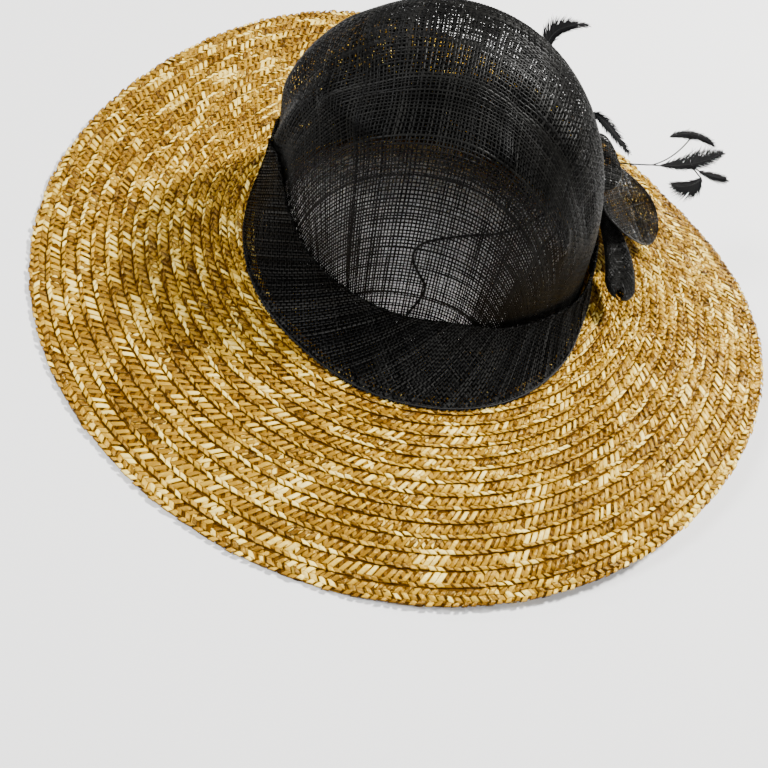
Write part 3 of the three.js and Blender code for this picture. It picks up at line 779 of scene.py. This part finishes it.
def build_plait():
    rng = np.random.default_rng(11)
    top, crossing, under = Parts(), Parts(), Parts()
    for row in range(ROWS):
        mean = BRIM_RADIUS - (row_starts[row] + row_starts[row + 1]) / 2
        count = int(round(2 * np.pi * mean / SPLINT_PITCH))
        tones = row_tones(count, rng), row_tones(count, rng)
        if row == ROWS - 1:
            tones = tuple(SHADED_ROW * tone for tone in tones)
        for k, facet in enumerate(ROW_FACETS if row else RIM_FACETS):
            facets(top if k else crossing, row, facet, rng, np.roll(tones[k % 2], k), row_top, 1)
        for k, facet in enumerate(UNDER_FACETS):
            facets(under, row, facet, rng, np.roll(tones[k], 3), row_under, -1)
    finish_piece(top.piece("brim_plait_top", straw, True), "straw", "straw_brim")
    # the crossing splints, darker in tone and dull, are painted shade
    finish_piece(crossing.piece("brim_plait_crossing", straw_shaded, True), "straw")
    finish_piece(under.piece("brim_plait_under", straw, True), "straw")


def build_brim_body():
    """The body between the two faces of the plait, dark as painted shade in the gaps, as one closed section
    taken round the brim.
    """
    a = all_round(BODY_STEPS)
    section = []
    for row in range(ROWS):
        for w in (0.25 if row else BODY_EDGE, row_widths[row]):
            section.append(row_top(a, row, w) - [0, 0, BODY_SINK])
    for share in (1.0, 0.8, 0.6, 0.4, 0.2, 0.1, 0.03, 0.0):
        inward = row_starts[-1] * share + BODY_EDGE * (1 - share)
        section.append(polar(brim_ring(a, inward), a, brim_under(a, inward) + BODY_LIFT))
    body = np.stack(section, 1)
    faces = ring_faces(BODY_STEPS, len(section))[:, [0, 3, 2, 1]]
    finish_piece(add_mesh("brim_body", body, faces, straw_gap_shade), "straw")


build_plait()
build_brim_body()

# Crown

# The cloth lies with its v axis towards the front of the hat
CLOTH_AXIS = math.radians(-82)
CLOTH_PITCH = (1.92, 1.8)
CLOTH_STRAND = 0.74
PROFILE_STEPS = 400
# The dome's profile, averaged round it: arc from its top and mean radius for each share of its height
profile_ups = np.linspace(0, 1, PROFILE_STEPS)
profile_turns = np.radians(np.arange(0, 360, 10.0))
profile = crown_point(
    profile_turns[:, None], np.broadcast_to(profile_ups, (len(profile_turns), PROFILE_STEPS)), CROWN_WALL / 2
)
profile_lengths = np.linalg.norm(np.diff(profile, axis=1), axis=2).mean(0)
profile_rise = np.sin(profile_ups * np.pi / 2) ** (2 / TOP_CURVE)
cloth_arc = np.concatenate([[0], np.cumsum(profile_lengths[::-1])])
cloth_up = profile_ups[::-1]
cloth_ring = np.hypot(profile[..., 0] - CROWN_LEAN * profile_rise, profile[..., 1]).mean(0)[::-1]
CLOTH_REACH = cloth_arc[-1]


def cloth_place(arc, turn):
    """Where the flat cloth's grid (u, v) meets the dome, for an arc from its top and a turn from its axis."""
    ring = np.interp(arc, cloth_arc, cloth_ring) + np.maximum(arc - CLOTH_REACH, 0) * 0.2
    c4, s4 = np.cos(turn) ** 4, np.sin(turn) ** 4
    return (ring * c4 + arc * (1 - c4)) * np.sin(turn), (arc * (1 - s4) + ring * s4) * np.cos(turn)


SOLVE_ROUNDS = 9
SOLVE_STEP = 0.05
LEAST_SLOPE = 0.05
LONGEST_MOVE = 12


def cloth_solve(u, v):
    """The arc and turn that cloth_place takes to (u, v), by Newton's method."""
    arc, turn = np.hypot(u, v) + 1e-6, np.arctan2(u, v)
    h = SOLVE_STEP
    for _ in range(SOLVE_ROUNDS):
        x, y = arc * np.sin(turn), arc * np.cos(turn)
        fu, fv = cloth_place(arc, turn)
        pu, pv = cloth_place(np.hypot(x + h, y), np.arctan2(x + h, y))
        qu, qv = cloth_place(np.hypot(x, y + h), np.arctan2(x, y + h))
        a, b, c, d = (pu - fu) / h, (qu - fu) / h, (pv - fv) / h, (qv - fv) / h
        det = a * d - b * c
        det = np.where(np.abs(det) < LEAST_SLOPE, LEAST_SLOPE, det)
        du, dv = u - fu, v - fv
        x = x + np.clip((d * du - b * dv) / det, -LONGEST_MOVE, LONGEST_MOVE)
        y = y + np.clip((a * dv - c * du) / det, -LONGEST_MOVE, LONGEST_MOVE)
        arc, turn = np.minimum(np.hypot(x, y), CLOTH_REACH * 1.6), np.arctan2(x, y)
    return arc, turn


def crown_cloth(u, v):
    arc, turn = cloth_solve(u, v)
    up = np.interp(np.minimum(arc, CLOTH_REACH), cloth_arc, cloth_up)
    return crown_point(turn + CLOTH_AXIS, up, CROWN_WALL / 2)


def in_crown(u, v):
    return CLOTH_REACH - cloth_solve(u, v)[0]


def crown_dense(u, v):
    """Strands are wider from the top of the crown backwards and at its right, where the photo is darker."""
    return 1 + 0.5 * smooth((62 - v) / 80) + 0.28 * smooth((u - 28) / 16)


def build_crown():
    rng = np.random.default_rng(23)
    warp, weft = Parts(), Parts()
    spans = ((-CLOTH_REACH - 4, CLOTH_REACH + 4),) * 2
    weave((warp, weft), crown_cloth, in_crown, spans, 0.0, CLOTH_PITCH, CLOTH_STRAND, 0.22, rng,
          dense=crown_dense)
    finish_piece(warp.piece("crown_weave_warp", sinamay, True), "sinamay", "sinamay_crown")
    finish_piece(weft.piece("crown_weave_weft", sinamay, True), "sinamay")
    a = all_round(180)
    foot = Parts()
    foot.add(*tube(crown_point(a, np.full_like(a, 0.012), CROWN_WALL / 2), 0.55, 6, True))
    finish_piece(foot.piece("crown_foot_edge", binding, True), "sinamay")


build_crown()

# Band

# The cloth goes up the outside, over the fold at the top and down the inside
BAND_MEAN = 108.0
BAND_SEAM = math.radians(38)
BAND_BIAS = math.radians(46)
BAND_PITCH = (1.62, 1.58)
BAND_STRAND = 0.62
BAND_RIDGE = 0.2
HEM_STRIP = 4.5
FOLD_INSET = 0.35
FOLD_DEPTH = BAND_WALL - 0.7
FOLD_LENGTH = 1.9
# The inside is cut shorter at the left, so that more light comes through there
LEFT_CUT, LEFT_WIDTH = 0.45, 30
# Length of the band's slope, with a little more for its curve
band_slant = np.hypot(band_hem_radius - band_top_radius, band_top_height - band_hem_height) * 1.03


def band_cloth(t, w):
    """Point of the band's cloth: t is the way round, w runs from the hem up, over the fold and down again."""
    a = BAND_SEAM + t / BAND_MEAN
    tall = band_ring(band_slant, a)
    over = np.clip((w - tall) / (np.pi * 0.5 * FOLD_DEPTH), 0, 1)
    share = np.where(w <= tall, w / tall, np.clip((2 * tall + FOLD_LENGTH - w) / tall, 0, 1))
    inset = FOLD_INSET + FOLD_DEPTH * (1 - np.cos(np.pi * over)) / 2
    radius, z = band_point(a, share, inset)
    return polar(radius, a, z + 0.5 * np.sin(np.pi * over))


def build_band():
    rng = np.random.default_rng(37)
    warp, weft = Parts(), Parts()
    around = 2 * np.pi * BAND_MEAN

    def surface(t, w):
        return band_cloth(t, np.clip(w, 0, None))

    def inside(t, w):
        a = BAND_SEAM + t / BAND_MEAN
        tall = band_ring(band_slant, a)
        left = np.exp(-(((np.degrees(a) - 180) / LEFT_WIDTH) ** 2))
        limit = tall * (2 - LEFT_CUT * left) + FOLD_LENGTH - HEM_STRIP
        return np.minimum(within(w, limit), within(t, around))

    def dense(t, w):
        """Strands are wider past the fold and in the strip along the hem."""
        tall = band_ring(band_slant, BAND_SEAM + t / BAND_MEAN)
        return 1 + 0.9 * smooth((w - tall) / 3) + 1.1 * smooth((HEM_STRIP + 0.5 - w) / 0.8)

    deep = 2 * band_slant.max() + 8
    corners = [turned(t, w, -BAND_BIAS) for t in (0, around) for w in (0, deep)]
    spans = [(min(places), max(places)) for places in zip(*corners)]
    weave((warp, weft), surface, inside, spans, BAND_BIAS, BAND_PITCH, BAND_STRAND, 0.14, rng,
          ridge=BAND_RIDGE, dense=dense)
    finish_piece(warp.piece("band_weave_warp", band_dark, True), "sinamay", "sinamay_band")
    # the weft carries the painted highlights of the band
    finish_piece(weft.piece("band_weave_weft", band_highlit, True), "sinamay")
    a = all_round(240)
    hem = Parts()
    for inset, size in ((0.5, 0.4), (BAND_WALL - 0.5, 0.35)):
        radius, z = band_point(a, np.full_like(a, 0.008), inset)
        hem.add(*tube(polar(radius, a, z + 0.35), size, 6, True))
    finish_piece(hem.piece("band_hem", binding, True), "sinamay")


build_band()

# Trim: knot, petals and tail

KNOT_ANGLE, KNOT_HEIGHT = math.radians(38), 0.395 * CROWN_HEIGHT
KNOT_SIZE, KNOT_STAND = np.array([6.0, 9.0, 8.0]), 0.6
# The wound cloth stops short of the knot's two poles, at these angles from the lower one
KNOT_POLES = (0.19, 2.95)
knot_reach = clear_radius(np.array(KNOT_ANGLE), np.array(KNOT_HEIGHT)) + KNOT_SIZE[0] + KNOT_STAND
knot_centre = polar(knot_reach, KNOT_ANGLE, KNOT_HEIGHT)


def from_knot(place):
    return np.asarray(place, float) * HEAD_RADIUS + knot_centre


def knot_surface(turn, pole, grow=0.0):
    winding = 1 + 0.05 * np.cos(3 * turn + 2.5 * pole)
    x = (KNOT_SIZE[0] + grow) * np.sin(pole) * np.cos(turn) * winding
    y = (KNOT_SIZE[1] + grow) * np.sin(pole) * np.sin(turn) * winding
    z = -(KNOT_SIZE[2] + grow) * np.cos(pole)
    return np.stack([*turned(x, y, KNOT_ANGLE), z], -1) + knot_centre


def build_knot():
    rng = np.random.default_rng(5)
    parts = Parts()
    size = float(KNOT_SIZE.mean())
    around = 2 * np.pi * size
    spans = ((-around, around * 1.3),) * 2
    for grow, bias, pitch in ((-0.3, 0.7, 1.1), (-1.0, -0.3, 1.0)):

        def surface(along, up):
            return knot_surface(along / size, np.clip(up / size, *KNOT_POLES), grow)

        def inside(along, up):
            edge = np.minimum(up - KNOT_POLES[0] * size, KNOT_POLES[1] * size - up)
            return np.minimum(edge, within(along, around))

        weave(parts, surface, inside, spans, bias, (pitch, pitch), 0.6, 0.12, rng)
    turn = all_round(40)
    for pole in (0.9, 1.35, 1.8, 2.25):
        lean = pole + 0.22 * np.sin(turn + pole)
        parts.add(*tube(knot_surface(turn, lean, 0.0), 0.45, 6, True), tone=0.7)
    finish_piece(parts.piece("trim_knot_wraps", sinamay), "sinamay", "trim_knot")


build_knot()

# Centre and half axes from the knot's centre, cup and ruffle, all as shares of HEAD_RADIUS
Petal = namedtuple("Petal", "centre long across cup ruffle")
LARGE_PETAL = Petal((0.297, -0.024, -0.096), (0.271, 0.253, -0.185), (-0.139, 0.262, 0.089), 0.01, 0.015)
UPPER_PETAL = Petal((-0.044, -0.058, 0.203), (-0.089, 0.19, 0.049), (0.116, 0.042, 0.015), -0.03, 0.012)
PETAL_THICKNESS = 1.0
# The outline is an oval of this power, and its lower half is a little shorter
PETAL_BLUNT = 2.3
PETAL_FOOT = 0.86
PETAL_RIM = 0.985
RIM_WIRE = 0.55


def petal_point(petal, x, y, lift):
    """Point of a petal; x and y are shares of its two half axes."""
    long, across = np.array(petal.long) * HEAD_RADIUS, np.array(petal.across) * HEAD_RADIUS
    normal = unit(np.cross(long, across))
    normal = normal if normal[2] > 0 else -normal
    reach, turn = np.hypot(x, y), np.arctan2(y, x)
    bowl = (petal.cup * reach**2 + petal.ruffle * reach**3 * np.sin(3 * turn + 1)) * HEAD_RADIUS + lift
    p = from_knot(petal.centre) + x[..., None] * long + y[..., None] * across + bowl[..., None] * normal
    a = np.arctan2(p[..., 1], p[..., 0])
    r = np.maximum(np.hypot(p[..., 0], p[..., 1]), clear_radius(a, p[..., 2]) + PETAL_THICKNESS)
    return polar(r, a, p[..., 2])


def petal_reach(x, y):
    """0 at the middle and 1 at the rim of the petal's blunt oval."""
    y = np.where(y < 0, y / PETAL_FOOT, y)
    return (np.abs(x) ** PETAL_BLUNT + np.abs(y) ** PETAL_BLUNT) ** (1 / PETAL_BLUNT)


def out_of_knot(p, margin=0.4):
    """Above zero outside the knot, below zero inside it."""
    d = p - knot_centre
    local = np.stack([*turned(d[..., 0], d[..., 1], -KNOT_ANGLE), d[..., 2]], -1)
    return (np.linalg.norm(local / (KNOT_SIZE + margin), axis=-1) - 1) * 7


def build_petal(name, petal, layers, seed):
    """Layers of cloth, each given by its lift, bias, pitch and strand width, inside a wired rim."""
    rng = np.random.default_rng(seed)
    parts = Parts()
    long, across = (np.linalg.norm(axis) * HEAD_RADIUS for axis in (petal.long, petal.across))
    spans = ((-long * 1.1, long * 1.1),) * 2
    for lift, bias, pitch, width in layers:

        def surface(x, y):
            return petal_point(petal, x / long, y / across, lift)

        def inside(x, y):
            edge = (1 - petal_reach(x / long, y / across)) * min(long, across)
            return np.minimum(edge, out_of_knot(surface(x, y)))

        weave(parts, surface, inside, spans, bias, (pitch, pitch), width, 0.14, rng)
    turn = all_round(120)
    edge = PETAL_RIM / petal_reach(np.cos(turn), np.sin(turn))
    rim = petal_point(petal, edge * np.cos(turn), edge * np.sin(turn), 0.0)
    keep = out_of_knot(rim) > 0
    whole = keep.all()
    if not whole:
        # the rim starts where it comes out of the knot
        first = np.argmax(~keep & np.roll(keep, -1)) + 1
        rim = np.roll(rim, -first, 0)[np.roll(keep, -first)]
    parts.add(*tube(rim, RIM_WIRE, 6, whole), tone=0.3)
    finish_piece(parts.piece(name + "_weave", petal_fibre), "sinamay", name)


build_petal("petal_large", LARGE_PETAL, ((0.3, 0.35, 1.5, 0.62), (-0.3, 0.85, 1.5, 0.62)), 51)
build_petal("petal_upper", UPPER_PETAL, ((0.3, 0.2, 1.5, 0.8), (-0.3, 0.75, 1.45, 0.8)), 52)

# degrees round, heights as shares of CROWN_HEIGHT, then half width, half depth and stand in millimetres
TAIL = {"from": 34, "to": -3.5, "low": 0.345, "high": 0.267, "half": 9.4, "deep": 4.0, "stand": 7.0}
TAIL_NOTCH = 0.08
TAIL_GROOVE = 0.6
TAIL_GIRTH = 2 * np.pi * 6.2
TAIL_WIDTH = 0.85


def build_tail():
    rng = np.random.default_rng(61)
    shares = np.linspace(0, 1, 41)
    angle = np.radians(TAIL["from"] + (TAIL["to"] - TAIL["from"]) * shares)
    height = (TAIL["low"] + (TAIL["high"] - TAIL["low"]) * shares) * CROWN_HEIGHT
    start = 0.5 + 0.5 * smooth(shares / 0.8)
    wall = np.maximum(clear_radius(angle, height), clear_radius(angle, height - TAIL["deep"]))
    centre = wall + TAIL["half"] * start + SEAT_GAP + TAIL["stand"] * shares**2
    line = polar(centre, angle, height)
    length = np.concatenate([[0], np.cumsum(np.linalg.norm(np.diff(line, axis=0), axis=1))])
    total = length[-1]

    def tail_surface(along, around):
        """Flattened tube with a notch between the two lobes of its end and a groove along its top."""
        share = np.interp(along, length, shares)
        turn = around / TAIL_GIRTH * 2 * np.pi
        notch = TAIL_NOTCH * smooth((share - 0.5) / 0.5) * (1 - np.abs(np.cos(turn))) ** 1.5
        at = np.clip(share - notch, 0, 1)
        end = np.sqrt(np.maximum(0.06, 1 - np.clip((at - 0.86) / 0.14, 0, 1) ** 2))
        size = 0.5 + 0.5 * smooth(at / 0.8)
        groove = 1 - TAIL_GROOVE * smooth(at / 0.5) * np.maximum(0, np.sin(turn)) ** 8
        a = np.interp(at, shares, angle)
        r = np.interp(at, shares, centre) + TAIL["half"] * 0.96 * end * size * np.cos(turn)
        z = np.interp(at, shares, height) + TAIL["deep"] * 0.92 * end * size * np.sin(turn) * groove
        return polar(r, a, z)

    def surface(along, around):
        return tail_surface(np.clip(along, 0, total), around)

    def inside(along, around):
        edge = np.minimum(within(along, total), within(around, TAIL_GIRTH))
        return np.minimum(edge, out_of_knot(surface(along, around)))

    parts = Parts()
    spans = (-TAIL_GIRTH, total + TAIL_GIRTH), (-total, TAIL_GIRTH + total)
    for bias, pitch in ((0.45, 1.5), (1.1, 1.55)):
        weave(parts, surface, inside, spans, bias, (pitch, pitch), TAIL_WIDTH, 0.1, rng)
    for turn in (0.0, np.pi):
        rim = tail_surface(np.linspace(0, total * 0.985, 50), np.full(50, turn / (2 * np.pi) * TAIL_GIRTH))
        rim = rim[out_of_knot(rim) > 0]
        parts.add(*tube(rim, 0.5, 6), tone=0.7)
    finish_piece(parts.piece("tail_loop_weave", sinamay), "sinamay", "tail_loop")


build_tail()

# Feathers

# Places from the knot's centre, as shares of HEAD_RADIUS
SPRAY = {
    "head": (-0.067, 0.083, 0.07), "fork": (0.294, 0.101, 0.199), "crescentStart": (0.361, 0.392, 0.265),
    "spine": (0.561, 0.289, 0.199), "leafBase": (0.672, 0.259, 0.152),
}
# from, bend, tip, where the vane starts along the quill, left and right half width, in the same shares
FEATHERS = (
    ("head", (-1.026, 0.407, 0.547), (-0.458, 0.79, 0.557), 0.5, 0.044, 0.03),
    ("head", (-0.482, 0.259, 0.51), (0.086, -0.023, 0.288), 0.5, 0.03, 0.03),
    ("head", (0.173, 0.046, 0.179), (0.294, 0.101, 0.199), 1, 0, 0),
    ("fork", (0.581, 0.234, 0.199), (0.793, 0.588, 0.199), 0.1, 0.074, 0.03),
    ("fork", (0.432, 0.209, 0.238), (0.514, 0.494, 0.28), 1, 0, 0),
    ("crescentStart", (0.499, 0.543, 0.3), (0.682, 0.558, 0.253), 0, 0.015, 0.049),
    ("spine", (0.679, 0.261, 0.164), (0.855, 0.37, 0.152), 0.3, 0.025, 0.025),
    ("spine", (0.605, 0.247, 0.189), (0.672, 0.259, 0.152), 1, 0, 0),
    ("leafBase", (0.642, 0.148, 0.122), (0.487, 0.088, 0.119), 0, 0.054, 0.035),
)
FEATHER_STEPS = 24
QUILL_THICK, QUILL_THIN = 0.42, 0.18
HEAD_BALL = 2.4
BARBS = 260
BARB_STEPS = 6
BARB_LENGTH, BARB_LENGTH_SPREAD, BARB_LEAST = 1.3, 0.14, 1.3
BARB_LEAN, BARB_LEAN_SPREAD = 1.7, 0.35
BARB_SAG = 0.6
STRAY_SHARE, STRAY_LENGTH = 0.06, 1.3


def add_barbs(barbs, curve, vane_from, sign, reach, rng):
    """Thin strips along one side of a quill, which lean towards its tip and get narrower outwards."""
    root = vane_from + (1 - vane_from) * (np.arange(BARBS) + rng.random(BARBS)) / BARBS
    base = curve(root)
    ahead = unit(curve(root + 0.01) - curve(root - 0.01))
    side = unit(np.cross([0, 0, 1.0], ahead)) * sign
    lift = unit(np.cross(ahead, side) * sign)
    vane = (root - vane_from) / (1 - vane_from)
    spread = np.sin(np.pi * np.clip(vane, 0.02, 0.98) ** 0.8) * HEAD_RADIUS * reach
    length = BARB_LENGTH + BARB_LENGTH_SPREAD * rng.standard_normal(BARBS)
    far = (spread * length + BARB_LEAST)[:, None]
    lean = (BARB_LEAN + BARB_LEAN_SPREAD * rng.standard_normal(BARBS))[:, None]
    stray = np.where(rng.random(BARBS) < STRAY_SHARE, STRAY_LENGTH, 1.0)[:, None]
    sag = (BARB_SAG * rng.standard_normal(BARBS))[:, None]
    steps = np.linspace(0, 1, BARB_STEPS)
    points = []
    for s in steps:
        mid = base + side * far * s * stray + ahead * far * lean * (s**1.4) * 0.95 + lift * (sag * s * s)
        half = 0.5 * (1 - s) ** 0.6 + 0.03
        points.append(np.stack([mid + ahead * half, mid - ahead * half], 1))
    faces = repeated(grid_faces(BARB_STEPS, 2), BARBS, 2 * BARB_STEPS)
    tone = np.repeat(rng.random(BARBS), 2 * BARB_STEPS)
    uv = np.stack([np.tile([0.0, 1.0], BARB_STEPS), np.repeat(steps * BARB_STEPS, 2)], 1)
    barbs.add(np.stack(points, 1), faces, np.tile(uv, (BARBS, 1)), tone)


def build_feathers():
    rng = np.random.default_rng(71)
    quills, barbs = Parts(), Parts()
    for start, bend, tip, vane_from, left, right in FEATHERS:
        p0, p1, p2 = from_knot(SPRAY[start]), from_knot(bend), from_knot(tip)
        has_vane = vane_from < 1

        def curve(t):
            t = np.asarray(t, float)[..., None]
            return (1 - t) ** 2 * p0 + 2 * t * (1 - t) * p1 + t**2 * p2

        line = curve(np.linspace(0, 1, FEATHER_STEPS))
        line = line[out_of_knot(line) > 0]
        size = np.linspace(QUILL_THICK, QUILL_THIN, len(line)) if has_vane else QUILL_THICK
        quills.add(*tube(line, size, 6))
        if has_vane:
            add_barbs(barbs, curve, vane_from, 1, left, rng)
            add_barbs(barbs, curve, vane_from, -1, right, rng)
    turn, pole = np.meshgrid(np.linspace(0, 2 * np.pi, 13), np.linspace(0.1, np.pi - 0.1, 8), indexing="ij")
    ball = from_knot(SPRAY["head"]) + HEAD_BALL * polar(np.sin(pole), turn, np.cos(pole))
    quills.add(ball, grid_faces(13, 8))
    finish_piece(quills.piece("feather_quills", quill, True), "plumage", "feather_spray")
    finish_piece(barbs.piece("feather_barbs", barb), "plumage")


build_feathers()

# Stage and light

FLOOR_HALF = 3000.0
LIGHT_CENTRE = (0, 0, 0.05)
floor_material = Graph("studio_floor").surface(Base_Color=(0.86, 0.86, 0.86, 1), Roughness=0.9)
floor_corners = np.array([(-1, -1, 0), (1, -1, 0), (1, 1, 0), (-1, 1, 0)]) * FLOOR_HALF
floor = add_mesh("floor", floor_corners, np.array([[0, 1, 2, 3]]), floor_material)
floor.location.z = -0.0002


def aimed_light(name, degrees_round, degrees_up, reach, size, power, colour=(1, 1, 1)):
    """A round lamp on a sphere about the hat, aimed at its middle; metres and watts."""
    turn, rise = math.radians(degrees_round), math.radians(degrees_up)
    flat = reach * math.cos(rise)
    target = np.array(LIGHT_CENTRE, float)
    place = np.array((flat * math.cos(turn), flat * math.sin(turn), reach * math.sin(rise) + target[2]))
    data = bpy.data.lights.new(name, "AREA")
    data.shape, data.size, data.energy, data.color = "DISK", size, power, colour
    light = bpy.data.objects.new(name, data)
    back = unit(place - target)
    side = unit(np.cross((0, 0, 1.0), back))
    light.matrix_world = placed(side, np.cross(back, side), back, place)
    bpy.context.scene.collection.objects.link(light)


aimed_light("key", 45, 52, 1.7, 0.24, 86, (1.0, 0.985, 0.955))
aimed_light("back", 135, 40, 1.8, 0.5, 8)
aimed_light("left", 205, 45, 1.8, 0.5, 34)
aimed_light("front", 290, 60, 1.8, 0.6, 12)
world = bpy.data.worlds.new("studio")
world.use_nodes = True
background = world.node_tree.nodes["Background"]
background.inputs["Color"].default_value = (1, 1, 1, 1)
background.inputs["Strength"].default_value = 0.19
bpy.context.scene.world = world
